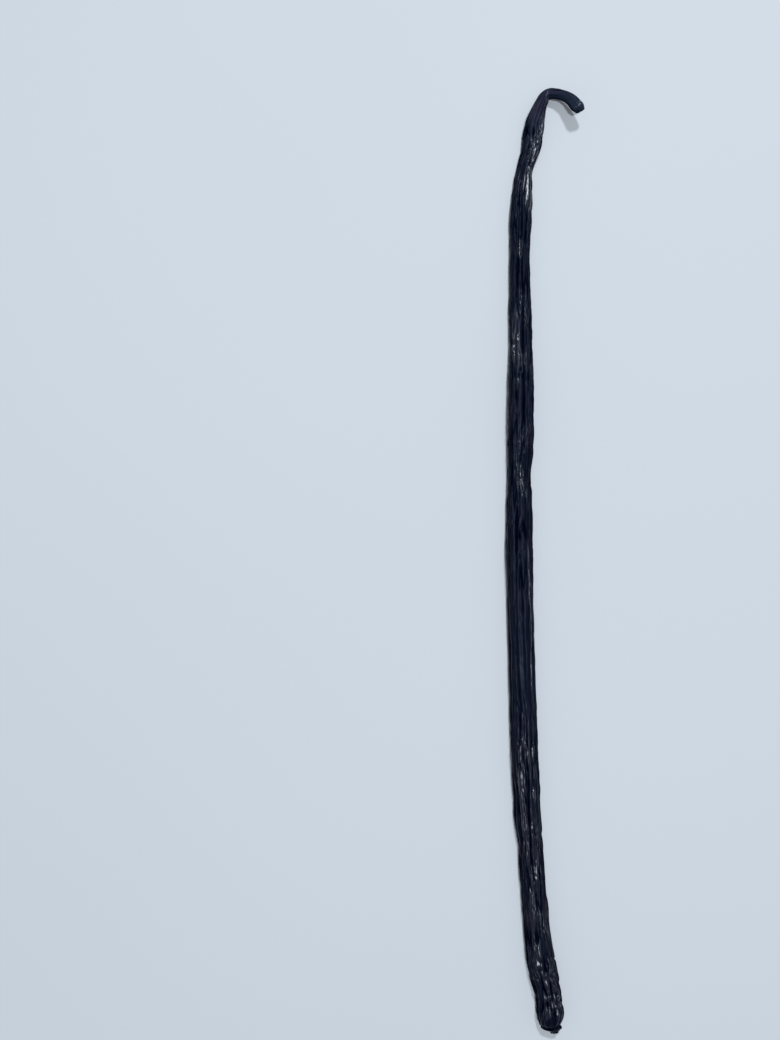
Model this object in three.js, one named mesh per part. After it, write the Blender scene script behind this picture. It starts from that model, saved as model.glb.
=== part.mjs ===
// A cured vanilla pod lying on a flat surface, in millimetres, +Z up.
// It runs along +Y from its blunt flower end to its stalk, which kinks over and curls round to +X.
// The origin is on the surface it lies on, under the middle of its bounding box.
//
// The pod is one skin swept along a centre line. A distance called `at` is measured along that line from
// the flower end. Each cross-section is a soft three-cornered oval, creased by long furrows.

import * as THREE from "three";

const { degToRad, lerp, smoothstep } = THREE.MathUtils;

// ---- Driving dimensions ----

const LENGTH = 197.5; // along the centre line

// Seen from above, the centre line sets out at START_HEADING, in degrees from +Y towards +X. It turns by
// `turn` degrees at each bend, spread over `over` millimetres round `at`.
const START_HEADING = -5.4;
const BENDS = [
  { name: "flower end leans back", at: 7.9, over: 6.4, turn: -10.5 },
  { name: "flower end swings out", at: 14.1, over: 14.8, turn: 10.8 },
  { name: "lower body bows", at: 34.3, over: 26, turn: 1.1 },
  { name: "body bows", at: 54, over: 26, turn: 2.5 },
  { name: "upper body bows", at: 102.2, over: 40, turn: 2.6 },
  { name: "upper body straightens", at: 133.8, over: 30, turn: -2.1 },
  { name: "shoulder bows", at: 156.1, over: 20, turn: 3.6 },
  { name: "neck leans over", at: 176.4, over: 16.7, turn: 35.4 },
  { name: "neck straightens", at: 178.2, over: 5.1, turn: -27.4 },
  { name: "neck bows", at: 184.7, over: 8, turn: 15.2 },
  { name: "stalk kinks", at: 189.3, over: 2.8, turn: 71.9 },
  { name: "stalk curls", at: 193, over: 5.6, turn: 49.5 },
];

// [at, width seen from above]
const WIDTHS = [
  [0, 1.5],
  [0.25, 1.6],
  [0.6, 2.6],
  [1, 3.75],
  [1.45, 3.95],
  [2, 4.6],
  [2.5, 5.05],
  [3.4, 5.4],
  [5.8, 5.1],
  [9, 5.2],
  [13, 5.35],
  [22, 4.95],
  [33, 4.85],
  [47, 5.1],
  [72, 5.3],
  [96, 5.15],
  [104, 5],
  [113, 4.7],
  [118, 5.15],
  [126, 5.1],
  [142, 4.4],
  [157, 3.9],
  [166.8, 4.2],
  [173.3, 3.2],
  [175.8, 3.25],
  [180.3, 3.85],
  [183.8, 3.5],
  [187.5, 2.35],
  [190, 2.1],
  [193, 2.2],
  [195.6, 2.5],
  [196.8, 2.5],
  [LENGTH, 1.9],
];

// [at, height as a share of the width]
const FLATNESS = [
  [0, 0.9],
  [12, 0.84],
  [150, 0.86],
  [181, 0.8],
  [190, 0.96],
  [LENGTH, 0.96],
];

// [at, gap between the surface and the pod's underside]
const LIFTS = [
  [0, 0],
  [102, 0],
  [128, 0.5],
  [152, 0],
  [165, 0],
  [178, 0.2],
  [186, 0.5],
  [LENGTH + 2.7, 4.3], // past the tip, as the stalk still climbs there
];
// [at, how far the section stands to the right of the centre line]
const ASIDES = [
  [0, 0.38],
  [0.5, 0.38],
  [1.4, -0.25],
  [2, -0.2],
  [3.4, 0],
  [172, 0],
  [178, 0.12],
  [184, 0.12],
  [189, 0],
  [193, 0.06],
  [196, 0.06],
  [LENGTH, 0],
];
const SETTLE = 0.28; // how far the soft underside is pressed flat where it rests
const FLOWER_DOME = 4; // length of the rounded flower end, which closes round the centre line

// Three soft corners of the section, which turn slowly along the pod.
const CORNER_RISE = 0.045; // as a share of the radius
const CORNER_TWIST = 50; // degrees over the whole length

// Long furrows in the skin, with rounded ribs between them.
const RIBS = 13;
const FURROW_DEPTH = 0.3;
const FURROW_REACH = 0.17; // how soon a furrow's sides level out, as a share of a rib's width
const FURROW_WANDER = 0.3; // its greatest step sideways, as a share of a rib's width
const FURROW_WAVES = [21, 43]; // the shortest and the longest swell and fade of a furrow
// [at, share of the full depth]
const FURROW_SHARES = [
  [0, 0.25],
  [3, 0.7],
  [12, 1],
  [165, 1],
  [176, 0.75],
  [184, 0.45],
  [190, 0.22],
  [LENGTH, 0.3],
];

// A groove rings the cap at the flower end. It lies further along the pod at the sides than on top.
const RING_AT = 1.3;
const RING_LEAN = 0.45;
const RING_DEPTH = 0.14;
const RING_REACH = 0.25;

// The scar of the fallen flower and the cut of the stalk are dished, and the cut is slanted: it lies
// further along towards the outside of the stalk's bend.
const SCAR_DISH = 0.3;
const CUT_DISH = 0.2;
const CUT_SLANT = 0.15; // millimetres along for each millimetre across
const CUT_REACH = 1.2; // the slant builds up over this length

// ---- Mesh steps ----

const COLUMNS_PER_RIB = 3;
const COLUMNS = RIBS * COLUMNS_PER_RIB;
const END_ZONE = 4.5; // steps are END_STEP this near either end
const NECK_AT = 168; // and NECK_STEP from here on
const END_STEP = 0.35;
const BODY_STEP = 1.85;
const NECK_STEP = 0.7;
const CENTRE_LINE_STEP = 0.05;

// ---- The centre line and the sizes along it ----

const TURN = 2 * Math.PI;
const GOLDEN = (1 + Math.sqrt(5)) / 2; // its multiples spread the furrows' waves with no two alike

// A smooth curve through rows of [at, value], as a function of at.
function curveThrough(rows) {
  const ats = rows.map(([at]) => at);
  const values = rows.map(([, value]) => value);
  const curve = new THREE.CubicInterpolant(ats, values, 1);
  return (at) => curve.evaluate(at)[0];
}

// Eases from each row to the next and stops at it, so that between two equal rows nothing changes.
function easeThrough(rows) {
  return (at) => {
    const next = Math.max(1, rows.findIndex(([rowAt]) => rowAt >= at));
    const [from, low] = rows[next - 1];
    const [to, high] = rows[next];
    return lerp(low, high, smoothstep(at, from, to));
  };
}

const widthAt = curveThrough(WIDTHS);
const flatnessAt = easeThrough(FLATNESS);
const liftAt = easeThrough(LIFTS);
const asideAt = easeThrough(ASIDES);
const furrowShareAt = easeThrough(FURROW_SHARES);

// How far a bend has turned the centre line by this place, in degrees.
function turnedBy(bend, at) {
  return bend.turn * smoothstep(at, bend.at - bend.over / 2, bend.at + bend.over / 2);
}

function headingAt(at) {
  return degToRad(BENDS.reduce((heading, bend) => heading + turnedBy(bend, at), START_HEADING));
}

function directionAt(at) {
  return new THREE.Vector3(Math.sin(headingAt(at)), Math.cos(headingAt(at)), 0);
}

// To the right of the direction.
function sideAt(at) {
  return new THREE.Vector3(Math.cos(headingAt(at)), -Math.sin(headingAt(at)), 0);
}

// The centre line is walked in short steps from the flower end.
function walkCentreLine() {
  const points = [new THREE.Vector3()];
  for (let at = CENTRE_LINE_STEP / 2; at < LENGTH; at += CENTRE_LINE_STEP) {
    points.push(points.at(-1).clone().addScaledVector(directionAt(at), CENTRE_LINE_STEP));
  }
  return points;
}

const centreLine = walkCentreLine();

function centreAt(at) {
  const centre = centreLine[Math.min(Math.round(at / CENTRE_LINE_STEP), centreLine.length - 1)].clone();
  const bodyAt = Math.max(at, FLOWER_DOME);
  centre.z = liftAt(at) + (widthAt(bodyAt) * flatnessAt(bodyAt)) / 2 - SETTLE;
  return centre.addScaledVector(sideAt(at), asideAt(at));
}

// ---- The skin ----

// Each furrow wanders sideways, and swells and fades, in waves of its own.
function furrowAt(index, at) {
  const own = (index * GOLDEN) % 1;
  const wave = TURN * (at / lerp(...FURROW_WAVES, own) + own * RIBS);
  return {
    angle: (TURN * (index + FURROW_WANDER * Math.sin(0.6 * wave))) / RIBS,
    depth: FURROW_DEPTH * furrowShareAt(at) * (0.6 + 0.4 * Math.sin(wave)),
  };
}

// The angle of a column of points round the section, and how far its two nearest furrows sink it.
function columnAt(column, at) {
  const index = Math.floor(column / COLUMNS_PER_RIB);
  const across = column / COLUMNS_PER_RIB - index;
  const before = furrowAt(index, at);
  const after = furrowAt((index + 1) % RIBS, at);
  const afterAngle = index + 1 === RIBS ? after.angle + TURN : after.angle;
  const sunkBefore = before.depth * Math.exp(-across / FURROW_REACH);
  const sunkAfter = after.depth * Math.exp((across - 1) / FURROW_REACH);
  return { angle: lerp(before.angle, afterAngle, across), sunk: sunkBefore + sunkAfter };
}

// How far the groove round the cap sinks the skin.
function ringSunk(angle, at) {
  const ringAt = RING_AT + RING_LEAN * Math.cos(angle) ** 2;
  return RING_DEPTH * Math.exp(-Math.abs(at - ringAt) / RING_REACH);
}

function skinPoint(column, at) {
  const { angle, sunk: furrowSunk } = columnAt(column, at);
  const sunk = furrowSunk + ringSunk(angle, at);
  const cornerAngle = angle - Math.PI / 2 - degToRad((CORNER_TWIST * at) / LENGTH);
  const swell = 1 + CORNER_RISE * Math.cos(3 * cornerAngle);
  const halfWidth = widthAt(at) / 2;
  const across = (halfWidth * swell - sunk) * Math.cos(angle);
  const rise = (halfWidth * flatnessAt(at) * swell - sunk) * Math.sin(angle);
  const slant = -CUT_SLANT * across * smoothstep(at, LENGTH - CUT_REACH, LENGTH);
  const point = centreAt(at).addScaledVector(sideAt(at), across).addScaledVector(directionAt(at), slant);
  point.z = Math.max(0, point.z + rise);
  return point;
}

// Where the sections stand along the centre line.
function sectionPlaces() {
  const places = [0];
  while (places.at(-1) < LENGTH) {
    const at = places.at(-1);
    const nearEnd = at < END_ZONE || at > LENGTH - END_ZONE;
    const step = nearEnd ? END_STEP : at < NECK_AT ? BODY_STEP : NECK_STEP;
    places.push(LENGTH - at < 1.5 * step ? LENGTH : at + step);
  }
  return places;
}

// Two triangles for each place between neighbouring columns and sections, and a fan at each end.
function skinFaces(sections) {
  const faces = [];
  const flowerCentre = sections * COLUMNS;
  const stalkCentre = flowerCentre + 1;
  const lastSection = (sections - 1) * COLUMNS;
  for (let column = 0; column < COLUMNS; column += 1) {
    const next = (column + 1) % COLUMNS;
    for (let start = 0; start < lastSection; start += COLUMNS) {
      const ahead = start + COLUMNS;
      faces.push(start + column, ahead + next, start + next);
      faces.push(start + column, ahead + column, ahead + next);
    }
    faces.push(flowerCentre, column, next);
    faces.push(stalkCentre, lastSection + next, lastSection + column);
  }
  return faces;
}

function podGeometry() {
  const places = sectionPlaces();
  const columns = [...Array(COLUMNS).keys()];
  const points = places.flatMap((at) => columns.map((column) => skinPoint(column, at)));
  points.push(centreAt(0).addScaledVector(directionAt(0), SCAR_DISH));
  points.push(centreAt(LENGTH).addScaledVector(directionAt(LENGTH), -CUT_DISH));

  const geometry = new THREE.BufferGeometry().setFromPoints(points);
  geometry.setIndex(skinFaces(places.length));
  geometry.computeBoundingBox();
  const middle = geometry.boundingBox.getCenter(new THREE.Vector3());
  geometry.translate(-middle.x, -middle.y, 0);
  geometry.computeVertexNormals();
  return geometry;
}

// ---- The part ----

const curedSkin = new THREE.MeshStandardMaterial({ color: 0x1d1715, roughness: 0.45, metalness: 0 });

const pod = new THREE.Mesh(podGeometry(), curedSkin);
pod.name = "vanilla_pod";

const part = new THREE.Group();
part.add(pod);

export default part;
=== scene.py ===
"""A cured vanilla pod on a pale surface: its wrinkled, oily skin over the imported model's form.

Sizes are in millimetres, and the tables' angles in degrees. A place called `at` is measured along the pod's
centre line from its flower end, and an angle goes round a section from the pod's right side over its top.
"""

import math

import bpy
import numpy as np
from mathutils import Euler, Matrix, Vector, noise


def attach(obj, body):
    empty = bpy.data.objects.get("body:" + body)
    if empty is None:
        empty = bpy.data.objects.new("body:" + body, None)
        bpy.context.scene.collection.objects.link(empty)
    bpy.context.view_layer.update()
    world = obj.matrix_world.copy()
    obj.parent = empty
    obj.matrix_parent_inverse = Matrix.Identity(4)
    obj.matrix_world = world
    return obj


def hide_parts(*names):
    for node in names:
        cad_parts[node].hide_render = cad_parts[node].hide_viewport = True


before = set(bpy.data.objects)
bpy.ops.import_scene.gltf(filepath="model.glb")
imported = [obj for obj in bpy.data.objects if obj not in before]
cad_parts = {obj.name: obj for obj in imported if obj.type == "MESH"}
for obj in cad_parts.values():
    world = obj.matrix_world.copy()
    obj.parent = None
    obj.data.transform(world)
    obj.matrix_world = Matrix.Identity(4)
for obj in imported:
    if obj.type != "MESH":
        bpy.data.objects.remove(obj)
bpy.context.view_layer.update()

MM = 0.001
TURN = 2 * math.pi

# ---- The pod's form ----

LENGTH = 197.5
START_HEADING = -5.4  # degrees from +Y towards +X

# (at, over, turn): the centre line turns by `turn` degrees, spread over `over` millimetres round `at`.
BENDS = [
    (7.9, 6.4, -10.5),
    (14.1, 14.8, 10.8),
    (34.3, 26, 1.1),
    (54, 26, 2.5),
    (102.2, 40, 2.6),
    (133.8, 30, -2.1),
    (156.1, 20, 3.6),
    (176.4, 16.7, 35.4),
    (178.2, 5.1, -27.4),
    (184.7, 8, 15.2),
    (189.3, 2.8, 71.9),
    (193, 5.6, 49.5),
]

# (at, width seen from above)
WIDTHS = [
    (0, 1.5), (0.25, 1.6), (0.6, 2.6), (1, 3.75), (1.45, 3.95), (2, 4.6), (2.5, 5.05), (3.4, 5.4),
    (5.8, 5.1), (9, 5.2), (13, 5.35), (22, 4.95), (33, 4.85), (47, 5.1), (72, 5.3), (96, 5.15), (104, 5),
    (113, 4.7), (118, 5.15), (126, 5.1), (142, 4.4), (157, 3.9), (166.8, 4.2), (173.3, 3.2),
    (175.8, 3.25), (180.3, 3.85), (183.8, 3.5), (187.5, 2.35), (190, 2.1), (193, 2.2), (195.6, 2.5),
    (196.8, 2.5), (LENGTH, 1.9),
]
# (at, height as a share of the width)
FLATNESS = [(0, 0.9), (12, 0.84), (150, 0.86), (181, 0.8), (190, 0.96), (LENGTH, 0.96)]
# (at, gap under the pod)
LIFTS = [(0, 0), (102, 0), (128, 0.5), (152, 0), (165, 0), (178, 0.2), (186, 0.5), (LENGTH + 2.7, 4.3)]
# (at, how far the section stands to the right of the centre line)
ASIDES = [
    (0, 0.38), (0.5, 0.38), (1.4, -0.25), (2, -0.2), (3.4, 0), (172, 0),
    (178, 0.12), (184, 0.12), (189, 0), (193, 0.06), (196, 0.06), (LENGTH, 0),
]
SETTLE = 0.28  # how far the soft underside is pressed flat where it rests
FLOWER_DOME = 4  # length of the rounded flower end, which closes round the centre line
SCAR_DISH = 0.3
CUT_DISH = 0.2
CUT_SLANT = 0.15  # millimetres along for each millimetre across
CUT_REACH = 1.2

RING_AT = 1.3  # the groove round the flower end's cap
RING_LEAN = 0.45  # how much farther along it is at the sides
RING_DEPTH = 0.14
RING_REACH = 0.25
RING_LINE_DEPTH = 0.12  # a finer line along the same groove
RING_LINE_REACH = 0.16

CORNERS = 3  # the section's low, rounded corners
CORNER_RISE = 0.045  # as a share of the half width
CORNER_TWIST = 50  # degrees

RIBS = 13
FURROW_DEPTH = 0.3
FURROW_MEAN = 0.6  # a furrow's mean depth, as a share of its greatest
FURROW_REACH = 0.17  # how soon a furrow's sides level out, as a share of a rib's width
FURROW_WANDER = 0.3  # its greatest step sideways, as a share of a rib's width
FURROW_SWAY = 0.6  # how often it wanders, for each time that it swells and fades
FURROW_WAVES = (21, 43)  # the shortest and the longest swell and fade of a furrow
# (at, share of the furrows' full depth)
FURROW_SHARES = [
    (0, 0.25), (3, 0.7), (12, 1), (165, 1), (176, 0.75), (184, 0.45), (190, 0.22), (LENGTH, 0.3),
]
GOLDEN = (1 + math.sqrt(5)) / 2  # its multiples spread the furrows' waves with no two alike

# ---- The skin's fine relief ----

# Smooth noise: ((size across, size along), seed)
WARP_NOISE = ((2.5, 9), 1)
LUMP_NOISE = ((2.2, 4), 2)
PATCH_NOISE = ((2.4, 9), 5)
SWELLING_NOISE = ((0.7, 2.4), 7)
STREAK_NOISE = ((3, 12), 8)
WANDER_NOISE = ((6, 5), 9)
WELT_NOISE = ((0.8, 0.9), 11)
SEED_STEP = 17.3  # how far apart two seeds are in the noise

# Grooves where noise crosses zero: (depth, (size across, size along), seed, reach in the noise)
FOLDS = (0.34, (1.1, 18), 3, 0.1)
CREASES = (0.18, (0.6, 7), 4, 0.1)
PUCKERS = (0.42, (0.8, 2.6), 10, 0.16)
CRINKLES = (1, (0.5, 2), 6, 0.13)
PLATEAU = 0.3  # how far the skin between grooves stands out, as a share of their depth

WARP = 0.4  # how far the noise for the grooves is pushed across
WARP_ALONG = 1.5  # and along, as a share of that
LUMP_HEIGHT = 0.13
SWELLING_HEIGHT = 0.13
CRINKLE_HEIGHT = 0.3
CRINKLE_SWELLING = 2.5  # how much more or less than the mean the short crinkles stand out
STREAKS = 16  # long streaks in half a turn
STREAK_WANDER = 5
STREAK_REACH = 0.45
STREAK_SWELLING = 2

# (at, share of the full relief)
WRINKLE_SHARES = [
    (0, 0.7), (1.4, 0.7), (2.1, 0.35), (3.2, 0.4), (4.6, 1), (60, 1), (70, 0.45), (86, 0.5), (95, 1),
    (170, 1), (180, 0.8), (186, 0.5), (189, 0.45), (LENGTH, 0.6),
]
# (at, share of the crinkles that are drawn out into long streaks)
STREAKY_SHARES = [
    (0, 0.2), (10, 0.3), (20, 0.85), (62, 0.95), (95, 0.6), (112, 0.2), (160, 0.35), (LENGTH, 0.2),
]
# (at, share of the full depth of the coarse puckers near both ends)
PUCKER_SHARES = [
    (0, 0), (2.5, 0.2), (4.5, 1), (11, 1), (18, 0), (174, 0), (177, 0.8), (181, 0.8), (184, 0),
]

# Welts, placed by the flank that faces up and shines: (at, half length, angle, width, shine)
WELTS = [
    (4.6, 1.2, 103, 0.34, 1.0),
    (14.8, 1.6, 109, 0.34, 0.8),
    (17.6, 1, 92, 0.34, 0.8),
    (23.5, 2, 101, 0.34, 1.0),
    (27.2, 1.8, 101, 0.38, 1.3),
    (35, 2, 67, 0.3, 0.8),
    (38, 4, 109, 0.3, 0.6),
    (44, 3, 110, 0.34, 0.8),
    (48.2, 1.5, 58, 0.28, 0.7),
    (51.3, 2.2, 111, 0.42, 1.4),
    (56.3, 2, 110, 0.34, 0.8),
    (56.5, 1.8, 56, 0.28, 1.0),
    (77, 22, 48, 0.2, 0.4),
    (112, 3, 98, 0.3, 0.4),
    (130, 1.2, 107, 0.34, 1.1),
    (137, 3.4, 108, 0.36, 1.2),
    (169, 4.6, 56, 0.44, 1.6),
    (173.5, 0.8, 62, 0.36, 1.4),
    (177.1, 0.8, 55, 0.34, 1.2),
    (178.3, 0.6, 78, 0.3, 0.9),
    (179.4, 0.7, 56, 0.32, 1.0),
    (180.6, 0.5, 44, 0.26, 1.0),
    (182.8, 2, 44, 0.26, 0.9),
    (196.3, 0.35, 106, 0.55, 1.4),
]
WELT_HEIGHT = 0.15  # the least; a welt whose flank has to lean more stands out more
WELT_STEEPNESS = 0.86  # a flank's slope, as a share of the welt's height over its width
WELT_FLANK = 0.7  # how far the flank is from the crest, as a share of the width
WELT_LUMPS = 0.4
WELT_WANDER = 6  # degrees

# Flat scales that face the light: (at, angle, half length, half width, shine)
SCALES = [
    (5, 98, 1, 0.28, 0.9),
    (6.4, 78, 0.7, 0.36, 1.2),
    (7.7, 70, 0.7, 0.38, 1.3),
    (7.8, 104, 0.7, 0.46, 1.4),
    (9.2, 88, 0.5, 0.3, 1.0),
    (10.7, 87, 1, 0.4, 1.3),
    (11.2, 64, 0.8, 0.36, 1.2),
    (12.9, 98, 0.6, 0.3, 0.9),
    (14.6, 110, 0.8, 0.32, 0.9),
    (16.4, 92, 0.7, 0.28, 0.8),
    (139.6, 108, 0.6, 0.32, 1.4),
    (156.6, 93, 0.9, 0.4, 1.4),
    (158.3, 93, 0.8, 0.38, 1.4),
]
SCALE_HEIGHT = 0.2  # at a scale's middle
SCALE_SLOPE = 0.21  # at the flower end, easing to none halfway along and turning over beyond

CREASE_AT = 189.1  # the skin's fold where the stalk bends over
CREASE_LEAN = 1.2  # how much sooner it comes on the pod's right side than on top
CREASE_REACH = 0.36
CREASE_RISE = 0.13
CREASE_OUTER = 0.25  # the share of it that is left on the outer side of the bend
CREASE_FADE = (-0.5, 0.3)  # where it fades, as shares of the half width to the right

# Where the skin is crinkled and shines: (at, angle, half length, strength)
CRINKLED = [
    (6, 70, 4, 0.5),
    (10, 100, 6, 0.6),
    (13, 60, 6, 0.5),
    (24, 85, 6, 0.8),
    (34, 95, 9, 0.9),
    (42, 75, 6, 0.7),
    (52, 105, 6, 0.9),
    (56, 70, 5, 0.5),
    (63, 105, 4, 0.3),
    (111.5, 90, 4, 0.6),
    (120, 85, 3, 0.6),
    (137, 105, 5, 0.7),
    (145, 80, 5, 0.5),
    (158, 97, 4, 0.8),
    (169, 75, 4, 0.3),
    (178, 55, 4, 1.1),
    (187, 30, 2.5, 0.4),
    (195, 90, 2, 0.6),
]
CRINKLE_SPREAD = 38  # degrees round the section
CRINKLED_LEAST = 0.18
CRINKLED_MOST = 1.3
CRINKLED_PATCHES = 0.9  # how much more or less than the mean the patches are crinkled

SMOOTHED = 0.92  # the share of the fine relief that a shining welt or scale loses
CREASE_OIL = 0.9
OILED_MOST = 1.5

# ---- The skin's grid ----

COLUMNS_PER_RIB = 10
COLUMNS = RIBS * COLUMNS_PER_RIB
SECTION_RUNS = [(0, FLOWER_DOME, 30), (FLOWER_DOME, 186, 660), (186, LENGTH, 60)]
CAP_RINGS = (0.8, 0.55, 0.3)  # the rings that close an end, as shares of its rim
CAP_LUMP_SIZE = 0.35
CAP_LUMPS = 0.5  # as a share of the cap's dish
SCAR_SEED = 3.1
CUT_SEED = 8.7


def smoothstep(value, low, high):
    share = np.clip((value - low) / (high - low), 0, 1)
    return share * share * (3 - 2 * share)


def at_least(low, share):
    """The share, squeezed into the range from low to 1."""
    return low + (1 - low) * share


def ease_through(rows, at):
    """Eases from each (at, value) row to the next."""
    ats, values = np.array(rows, float).T
    after = np.clip(np.searchsorted(ats, at), 1, len(ats) - 1)
    share = smoothstep(at, ats[after - 1], ats[after])
    return values[after - 1] + (values[after] - values[after - 1]) * share


def curve_through(rows, at):
    """A smooth cubic curve through (at, value) rows."""
    ats, values = np.array(rows, float).T
    slopes = np.gradient(values, ats)
    after = np.clip(np.searchsorted(ats, at), 1, len(ats) - 1)
    before = after - 1
    gap = ats[after] - ats[before]
    t = (at - ats[before]) / gap
    level = (2 * t**3 - 3 * t**2 + 1) * values[before] + (3 * t**2 - 2 * t**3) * values[after]
    lean = (t**3 - 2 * t**2 + t) * slopes[before] + (t**3 - t**2) * slopes[after]
    return level + lean * gap


def heading_at(at):
    """The centre line's heading in radians, from +Y towards +X."""
    turned = [turn * smoothstep(at, middle - over / 2, middle + over / 2) for middle, over, turn in BENDS]
    return np.radians(START_HEADING + sum(turned))


def direction_at(at):
    """Along the centre line, towards the stalk."""
    heading = heading_at(at)
    return np.stack([np.sin(heading), np.cos(heading), np.zeros_like(heading)], -1)


def side_at(at):
    """Square to the centre line, towards the pod's right side."""
    heading = heading_at(at)
    return np.stack([np.cos(heading), -np.sin(heading), np.zeros_like(heading)], -1)


def centre_at(at):
    """The middle of each section, which is walked to in short steps."""
    step = 0.05
    walked = np.arange(0, LENGTH + step, step)
    line = np.cumsum(direction_at(walked[:-1] + step / 2) * step, axis=0)
    line = np.vstack([np.zeros(3), line])
    centre = np.stack([np.interp(at, walked, line[:, axis]) for axis in range(3)], -1)
    body_at = np.maximum(at, FLOWER_DOME)
    half_height = curve_through(WIDTHS, body_at) * ease_through(FLATNESS, body_at) / 2
    centre[..., 2] = ease_through(LIFTS, at) + half_height - SETTLE
    return centre + side_at(at) * ease_through(ASIDES, at)[..., None]


def furrow_at(index, at):
    """A furrow's angle round the section and its depth."""
    own = (index * GOLDEN) % 1
    shortest, longest = FURROW_WAVES
    wave = TURN * (at / (shortest + (longest - shortest) * own) + own * RIBS)
    angle = TURN * (index + FURROW_WANDER * np.sin(FURROW_SWAY * wave)) / RIBS
    swelling = FURROW_MEAN + (1 - FURROW_MEAN) * np.sin(wave)
    depth = FURROW_DEPTH * ease_through(FURROW_SHARES, at) * swelling
    return angle, depth


def columns_at(at):
    """Each column's angle at each section, and how far the furrows sink it there."""
    furrows = [furrow_at(index, at) for index in range(RIBS)]
    furrows.append((furrows[0][0] + TURN, furrows[0][1]))
    angles, sunk = [], []
    for column in range(COLUMNS):
        index, step = divmod(column, COLUMNS_PER_RIB)
        across = step / COLUMNS_PER_RIB
        (angle, depth), (next_angle, next_depth) = furrows[index : index + 2]
        sunk_before = depth * math.exp(-across / FURROW_REACH)
        sunk_after = next_depth * math.exp((across - 1) / FURROW_REACH)
        angles.append(angle + (next_angle - angle) * across)
        sunk.append(sunk_before + sunk_after)
    return np.array(angles).T, np.array(sunk).T


def noise_over(places, sizes, seed):
    """Smooth noise at each place, with lumps of a size across the pod and another along it."""
    across, along = sizes
    moved = places / np.array([across, across, along]) + seed * SEED_STEP
    flat = [noise.noise(place) for place in moved.reshape(-1, 3).tolist()]
    return np.array(flat).reshape(places.shape[:-1])


def near_zero(values, reach):
    """1 where the values cross zero, fading to 0 either side."""
    return np.exp(-np.abs(values) / reach)


def grooves(places, depth, sizes, seed, reach):
    """Sharp grooves, with the skin between them standing out."""
    return depth * (PLATEAU - near_zero(noise_over(places, sizes, seed), reach))


def lean_at(angle):
    """How steeply a round section falls away sideways at an angle round it."""
    return math.tan(math.radians(90 - angle))


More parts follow.
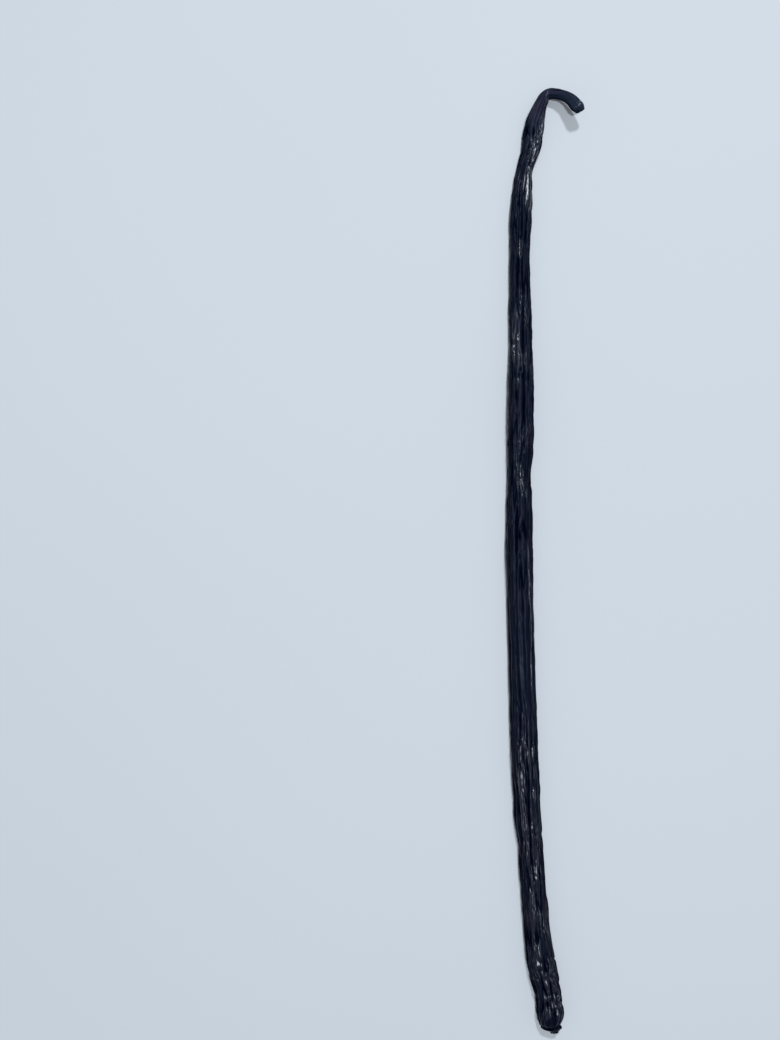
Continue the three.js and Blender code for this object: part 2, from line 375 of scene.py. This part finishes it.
class Skin:
    """The skin's points in millimetres, one row for each section, and what its finish needs to know."""

    def __init__(self):
        self.at = np.concatenate([np.linspace(*run, endpoint=False) for run in SECTION_RUNS] + [[LENGTH]])
        self.angle, self.sunk = columns_at(self.at)
        at = self.at[:, None] + 0 * self.angle
        self.sunk += RING_DEPTH * self.ring_share(at, RING_REACH)
        self.half_width = curve_through(WIDTHS, at) / 2
        half_height = self.half_width * ease_through(FLATNESS, at)
        corner = self.angle - math.pi / 2 - np.radians(CORNER_TWIST) * at / LENGTH
        swell = 1 + CORNER_RISE * np.cos(CORNERS * corner)
        self.across = (self.half_width * swell - self.sunk) * np.cos(self.angle)
        self.rise = (half_height * swell - self.sunk) * np.sin(self.angle)
        self.straight = np.stack([self.across, self.rise, at], -1)
        self.add_relief(at)

    def add_relief(self, at):
        """Works out the relief, and where the skin is crinkled and oily."""
        self.crinkled = self.crinkled_share(at)
        welt_rise, welt_shine = self.welts(at)
        scale_rise, scale_shine = self.scales(at)
        shine = np.maximum(welt_shine, scale_shine)
        kept = 1 - SMOOTHED * np.clip(shine, 0, 1)
        self.relief = self.fine_relief(at) * kept + welt_rise + scale_rise
        self.oiled = np.clip(self.crinkled + shine + CREASE_OIL * self.crease_share(at), 0, OILED_MOST)

    def ring_share(self, at, reach):
        """1 in the groove round the flower end's cap, fading to 0 either side."""
        return near_zero(at - RING_AT - RING_LEAN * np.cos(self.angle) ** 2, reach)

    def crease_share(self, at):
        """1 in the fold where the stalk bends over, fading to 0 either side and towards its outer side."""
        crease_at = CREASE_AT - CREASE_LEAN * np.cos(self.angle)
        inner = at_least(CREASE_OUTER, smoothstep(np.cos(self.angle), *CREASE_FADE))
        return inner * np.exp(-(((at - crease_at) / CREASE_REACH) ** 2))

    def crinkled_share(self, at):
        """How crinkled the skin is, in patches."""
        share = CRINKLED_LEAST + 0 * at
        for middle, angle, half_length, strength in CRINKLED:
            along = (at - middle) / half_length
            around = (np.degrees(self.angle) - angle) / CRINKLE_SPREAD
            share += strength * np.exp(-(along**2) - around**2)
        patches = 1 + CRINKLED_PATCHES * noise_over(self.straight, *PATCH_NOISE)
        return np.clip(share * patches, 0, CRINKLED_MOST)

    def arc_from(self, angle):
        """How far round its section each point is from an angle."""
        return np.radians(np.degrees(self.angle) - angle) * self.half_width

    def welts(self, at):
        """How far the welts stand out, and how much they shine."""
        wander = WELT_WANDER * noise_over(self.straight, *WANDER_NOISE)
        lumpy = 1 + WELT_LUMPS * noise_over(self.straight, *WELT_NOISE)
        rise, shine = 0 * at, 0 * at
        for middle, half_length, angle, width, welt_shine in WELTS:
            lean = lean_at(angle)
            height = max(WELT_HEIGHT, width * abs(lean) / WELT_STEEPNESS)
            along = (at - middle) / half_length
            around = (self.arc_from(angle + wander) + math.copysign(WELT_FLANK * width, lean)) / width
            rise += height * lumpy * np.exp(-(along**4) - around**2)
            shine = np.maximum(shine, welt_shine * np.exp(-(along**4) - around**4 / 4))
        return rise, shine

    def scales(self, at):
        """How far the flat scales stand out, and how much they shine."""
        rise, shine = 0 * at, 0 * at
        for middle, angle, half_length, half_width, scale_shine in SCALES:
            along = at - middle
            around = self.arc_from(angle)
            scale = np.exp(-((along / half_length) ** 4) - (around / half_width) ** 4)
            slope = SCALE_SLOPE * (1 - 2 * middle / LENGTH)
            rise += scale * (SCALE_HEIGHT - lean_at(angle) * around - slope * along)
            shine = np.maximum(shine, scale_shine * scale)
        return rise, shine

    def crinkles(self, at, warped, swelling):
        """Short crinkles, which pass into long streaks."""
        short = (1 + CRINKLE_SWELLING * swelling) * grooves(warped, *CRINKLES)
        streak = np.sin(STREAKS * self.angle + STREAK_WANDER * noise_over(self.straight, *STREAK_NOISE))
        long = (1 + STREAK_SWELLING * swelling) * (PLATEAU - near_zero(streak, STREAK_REACH))
        streaky = ease_through(STREAKY_SHARES, at)
        return CRINKLE_HEIGHT * self.crinkled * (short + streaky * (long - short))

    def fine_relief(self, at):
        """How far the skin stands out from its plain form, apart from welts and scales."""
        warp = WARP * noise_over(self.straight, *WARP_NOISE)
        warped = self.straight + np.stack([warp, -warp, WARP_ALONG * warp], -1)
        swelling = noise_over(warped, *SWELLING_NOISE)
        relief = LUMP_HEIGHT * noise_over(self.straight, *LUMP_NOISE) + SWELLING_HEIGHT * swelling
        relief += grooves(warped, *FOLDS) + grooves(warped, *CREASES)
        relief += grooves(warped, *PUCKERS) * ease_through(PUCKER_SHARES, at)
        relief += self.crinkles(at, warped, swelling)
        relief *= ease_through(WRINKLE_SHARES, at)
        ring_line = RING_LINE_DEPTH * self.ring_share(at, RING_LINE_REACH)
        return relief - ring_line + CREASE_RISE * self.crease_share(at)

    def placed(self, relief):
        """The points in the row's frame: the straight skin, laid along the centre line."""
        across = self.across + relief * np.cos(self.angle)
        rise = self.rise + relief * np.sin(self.angle)
        slant = -CUT_SLANT * across * smoothstep(self.at, LENGTH - CUT_REACH, LENGTH)[:, None]
        points = centre_at(self.at)[:, None, :] + side_at(self.at)[:, None, :] * across[..., None]
        points += direction_at(self.at)[:, None, :] * slant[..., None]
        points[..., 2] = np.maximum(0, points[..., 2] + rise)
        return points


def cap_rings(rim, dish, seed):
    """Rings that close an end of the skin inwards from its rim, and the cap's middle point."""
    middle = rim.mean(axis=0)
    rings = []
    for share in CAP_RINGS:
        ring = middle + (rim - middle) * share + dish * (1 - share**2)
        rough = [noise.noise(point) for point in (ring / CAP_LUMP_SIZE + seed).tolist()]
        rings.append(ring + np.array(rough)[:, None] * dish * CAP_LUMPS)
    return rings, middle + dish


def skin_faces(rings):
    """Quads between neighbouring rings, and a fan of triangles at each end."""
    faces = []
    first_middle = rings * COLUMNS
    last = (rings - 1) * COLUMNS
    for column in range(COLUMNS):
        beside = (column + 1) % COLUMNS
        for start in range(0, last, COLUMNS):
            ahead = start + COLUMNS
            faces.append((start + column, ahead + column, ahead + beside, start + beside))
        faces.append((first_middle, column, beside))
        faces.append((first_middle + 1, last + beside, last + column))
    return faces


def add_attribute(mesh, name, rows):
    """Gives each point of the mesh its value, and the caps' points those of their rims."""
    caps = len(CAP_RINGS)
    first, last = rows[0], rows[-1]
    values = np.concatenate([*[first] * caps, *rows, *[last] * caps, first[:1], last[:1]])
    kind, field = ("FLOAT_VECTOR", "vector") if values.ndim > 1 else ("FLOAT", "value")
    layer = mesh.attributes.new(name, kind, "POINT")
    layer.data.foreach_set(field, np.ascontiguousarray(values, dtype=np.float32).ravel())


def make_pod():
    """The pod's skin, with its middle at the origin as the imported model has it."""
    skin = Skin()
    rows = skin.placed(skin.relief)
    ahead = direction_at(skin.at)
    scar, scar_middle = cap_rings(rows[0], ahead[0] * SCAR_DISH, SCAR_SEED)
    cut, cut_middle = cap_rings(rows[-1], -ahead[-1] * CUT_DISH, CUT_SEED)
    rings = [*scar[::-1], *rows, *cut]
    plain = skin.placed(0).reshape(-1, 3)
    middle = (plain.min(axis=0) + plain.max(axis=0)) / 2
    points = np.vstack([*rings, scar_middle, cut_middle]) - [middle[0], middle[1], 0]

    mesh = bpy.data.meshes.new("pod_skin")
    mesh.from_pydata((points * MM).tolist(), [], skin_faces(len(rings)))
    mesh.shade_smooth()
    add_attribute(mesh, "straight", skin.straight)
    add_attribute(mesh, "crinkled", skin.crinkled)
    add_attribute(mesh, "oiled", skin.oiled)
    add_attribute(mesh, "relief", skin.relief - skin.sunk)
    pod = bpy.data.objects.new("pod_skin", mesh)
    bpy.context.scene.collection.objects.link(pod)
    return pod


# ---- Finishes ----

BLACK = (0.0011, 0.0028, 0.0122, 1)
BROWN = (0.0088, 0.0062, 0.0185, 1)
SLATE = (0.0130, 0.0210, 0.0400, 1)
PLUM = (0.0270, 0.0230, 0.0460, 1)
PAINTED_SHADE = (0.0008, 0.0018, 0.0085, 1)  # painted shade: a dull, dark colour for the hollows and the low sides
OIL_TINT = (0.62, 0.74, 1, 1)
BOARD_COLOURS = (0.76, 0.78, 0.81, 1), (0.79, 0.81, 0.84, 1)
BOARD_CLOUDS = 1 / 9  # metres

# Where a finish comes in, as (none up to, all from)
BROWN_BLOTCHES = (0.42, 0.65)
BROWN_STREAKS = (0.35, 0.65)
BROWN_AT = (6, 18)
PLUM_BLOTCHES = (0.47, 0.62)
STALK_AT = (170, 191)
PUCKERED_AT = (180, 190)
OILY = (0.1, 0.9)
SLICK = (0.8, 1.3)  # so oily that the finest relief is filled
CRESTS = (-0.12, 0.06)  # relief
UNSHADED_RELIEF = (-0.3, -0.04)  # relief; below it, the hollows get painted shade
UNSHADED_RISE = (0, 0.9)  # height over the section's middle; below it, the low sides get painted shade


class Wire:
    """An output socket of a finish, so that an expression on wires and numbers adds its Math nodes."""

    def __init__(self, finish, socket):
        self.finish = finish
        self.socket = socket

    def math(self, operation, *values):
        return self.finish.add("Math", {"operation": operation}, dict(enumerate(values)))

    def __add__(self, other):
        return self.math("ADD", self, other)

    def __sub__(self, other):
        return self.math("SUBTRACT", self, other)

    def __rsub__(self, other):
        return self.math("SUBTRACT", other, self)

    def __mul__(self, other):
        return self.math("MULTIPLY", self, other)

    __radd__ = __add__
    __rmul__ = __mul__

    def at_least(self, low):
        """The share, squeezed into the range from low to 1."""
        return low + (1 - low) * self

    def clear_of(self, low, high):
        """0 below low, 1 above high, and a smooth step between."""
        settings = {"interpolation_type": "SMOOTHSTEP"}
        return self.finish.add("MapRange", settings, {"Value": self, "From Min": low, "From Max": high})


class Finish:
    """A material with a glossy shader, which can give way to a dull, dark one that paints shade."""

    def __init__(self, name):
        self.material = bpy.data.materials.new(name)
        self.material.use_nodes = True
        self.tree = self.material.node_tree
        self.shader = self.tree.nodes["Principled BSDF"]

    def add(self, kind, settings=None, values=None, output=0):
        """Adds a node with its settings, and the values or wires of its sockets."""
        node = self.tree.nodes.new("ShaderNode" + kind)
        for name, value in (settings or {}).items():
            setattr(node, name, value)
        for socket, value in (values or {}).items():
            self.feed(node.inputs[socket], value)
        return Wire(self, node.outputs[output])

    def feed(self, socket, value):
        if isinstance(value, Wire):
            self.tree.links.new(value.socket, socket)
        else:
            socket.default_value = value

    def set(self, **values):
        """Sets or wires sockets of the glossy shader."""
        for name, value in values.items():
            self.feed(self.shader.inputs[name.replace("_", " ")], value)

    def attribute(self, name, output="Fac"):
        return self.add("Attribute", {"attribute_name": name}, output=output)

    def noise(self, vector, across, along, detail=2, roughness=0.5):
        """Smooth noise, with lumps of a size across the pod and another along it."""
        scale = (1 / across, 1 / across, 1 / along)
        stretched = self.add("VectorMath", {"operation": "MULTIPLY"}, {0: vector, 1: scale})
        values = {"Vector": stretched, "Scale": 1, "Detail": detail, "Roughness": roughness}
        return self.add("TexNoise", {}, values)

    def mix(self, share, low, high):
        """A colour between two colours."""
        return self.add("Mix", {"data_type": "RGBA"}, {0: share, 6: low, 7: high}, output=2)

    def paint_dull_shade_where(self, share, colour):
        """Gives way to a dull, dark shader by the share: painted shade."""
        values = {"Base Color": colour, "Roughness": 0.9, "Specular IOR Level": 0}
        dull = self.add("BsdfPrincipled", {}, values)
        glossy = Wire(self, self.shader.outputs[0])
        mixed = self.add("MixShader", {}, {0: share, 1: glossy, 2: dull})
        self.feed(self.tree.nodes["Material Output"].inputs["Surface"], mixed)


def skin_colour(finish, at, streaks, blotches, crests):
    """Black with brown blotches, turning to slate and plum on the stalk, with painted shade darkening the
    hollows towards black.
    """
    brown = blotches.clear_of(*BROWN_BLOTCHES) * streaks.clear_of(*BROWN_STREAKS).at_least(0.35)
    brown = brown * at.clear_of(*BROWN_AT).at_least(0.25)
    # Painted shade: in the hollows the brown and the stalk's tints keep only 0.3 of their share.
    unshaded_crests = crests.at_least(0.3)
    body = finish.mix(brown * unshaded_crests, BLACK, BROWN)
    stalk = finish.mix(blotches.clear_of(*PLUM_BLOTCHES), SLATE, PLUM)
    return finish.mix(at.clear_of(*STALK_AT) * unshaded_crests, body, stalk)


def skin_bump(finish, straight, at, streaks, crinkled, oiled):
    """Relief too fine for the mesh, which oil fills where the skin is slick."""
    fibres = finish.noise(straight, 0.14, 2.2)
    grain = finish.noise(straight, 0.16, 0.22, detail=3, roughness=0.6)
    puckers = finish.noise(straight, 0.32, 0.8)
    puckered = crinkled + 0.7 * at.clear_of(*PUCKERED_AT)
    height = 0.5 * streaks + 0.7 * fibres + 0.45 * grain + puckered * puckers
    height = height * (1 - 0.8 * oiled.clear_of(*SLICK))
    return finish.add("Bump", {}, {"Strength": 0.6, "Distance": 0.08 * MM, "Height": height})


def cured_skin():
    """Near-black skin, oily on its crests, with painted shade, dull and dark, in its hollows and low on its
    sides.
    """
    finish = Finish("cured_skin")
    straight = finish.attribute("straight", "Vector")
    rise = finish.add("SeparateXYZ", {}, {0: straight}, output=1)
    at = finish.add("SeparateXYZ", {}, {0: straight}, output=2)
    crinkled = finish.attribute("crinkled")
    oiled = finish.attribute("oiled")
    relief = finish.attribute("relief")
    streaks = finish.noise(straight, 0.5, 7, detail=3)
    blotches = finish.noise(straight, 3, 11)
    crests = relief.clear_of(*CRESTS)

    oil = oiled * (0.4 + 0.9 * blotches)
    finish.set(Base_Color=skin_colour(finish, at, streaks, blotches, crests))
    finish.set(Roughness=0.52 - 0.12 * streaks - 0.1 * crinkled)
    finish.set(Coat_Weight=oil.clear_of(*OILY) * crests)
    finish.set(Coat_Roughness=0.26, Coat_IOR=1.5)
    finish.set(IOR=1.45, Specular_IOR_Level=0.2, Specular_Tint=OIL_TINT)
    finish.set(Normal=skin_bump(finish, straight, at, streaks, crinkled, oiled))
    # Painted shade: the hollows and the low sides give way to a dull, dark shader.
    unshaded_skin = relief.clear_of(*UNSHADED_RELIEF) * rise.clear_of(*UNSHADED_RISE).at_least(0.1)
    finish.paint_dull_shade_where(1 - unshaded_skin, PAINTED_SHADE)
    return finish.material


def pale_board():
    """A pale board with faint clouds."""
    finish = Finish("pale_board")
    place = finish.add("TexCoord", output="Object")
    clouds = finish.noise(place, BOARD_CLOUDS, BOARD_CLOUDS, detail=1)
    finish.set(Base_Color=finish.mix(clouds, *BOARD_COLOURS), Roughness=0.7)
    return finish.material


# ---- The studio ----

FLOOR_HALF = 2  # metres
FLOOR_GAP = 0.02  # between the floor and the pod's underside
CAMERA_PLACE = (-31.02, 8.14, 291.4)
DAYLIGHT = (0.86, 0.93, 1)


def add_floor():
    mesh = bpy.data.meshes.new("floor")
    half = FLOOR_HALF
    corners = [(-half, -half, 0), (half, -half, 0), (half, half, 0), (-half, half, 0)]
    mesh.from_pydata(corners, [], [(0, 1, 2, 3)])
    mesh.materials.append(pale_board())
    floor = bpy.data.objects.new("floor", mesh)
    floor.location.z = -FLOOR_GAP * MM
    bpy.context.scene.collection.objects.link(floor)


def add_lamp(name, towards, distance, size, power):
    """A square soft lamp that shines on the origin, from a direction. Its sizes are in metres."""
    lamp = bpy.data.lights.new(name, "AREA")
    lamp.size = size
    lamp.energy = power
    lamp.color = DAYLIGHT
    place = bpy.data.objects.new(name, lamp)
    place.location = Vector(towards).normalized() * distance
    place.rotation_euler = Vector(towards).to_track_quat("Z", "Y").to_euler()
    bpy.context.scene.collection.objects.link(place)


def add_sky(strength):
    world = bpy.data.worlds.new("studio")
    world.use_nodes = True
    background = world.node_tree.nodes["Background"]
    background.inputs["Color"].default_value = (*DAYLIGHT, 1)
    background.inputs["Strength"].default_value = strength
    bpy.context.scene.world = world


def add_camera():
    """A camera that looks straight down."""
    lens = bpy.data.cameras.new("camera")
    lens.lens = 50
    lens.sensor_width = 36
    lens.clip_start = 0.01
    camera = bpy.data.objects.new("camera", lens)
    camera.location = Vector(CAMERA_PLACE) * MM
    camera.rotation_euler = Euler((0, 0, 0))
    bpy.context.scene.collection.objects.link(camera)
    bpy.context.scene.camera = camera


add_camera()
add_floor()
add_lamp("near_lamp", (0.052, -0.058, 1), distance=0.852, size=0.07, power=2.6)
add_lamp("far_lamp", (0.11, 0.612, 1), distance=1.0, size=0.08, power=3.75)
add_sky(0.24)
bpy.context.scene.view_settings.view_transform = "Standard"

pod = make_pod()
pod.data.materials.append(cured_skin())
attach(pod, "root")
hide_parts("vanilla_pod")
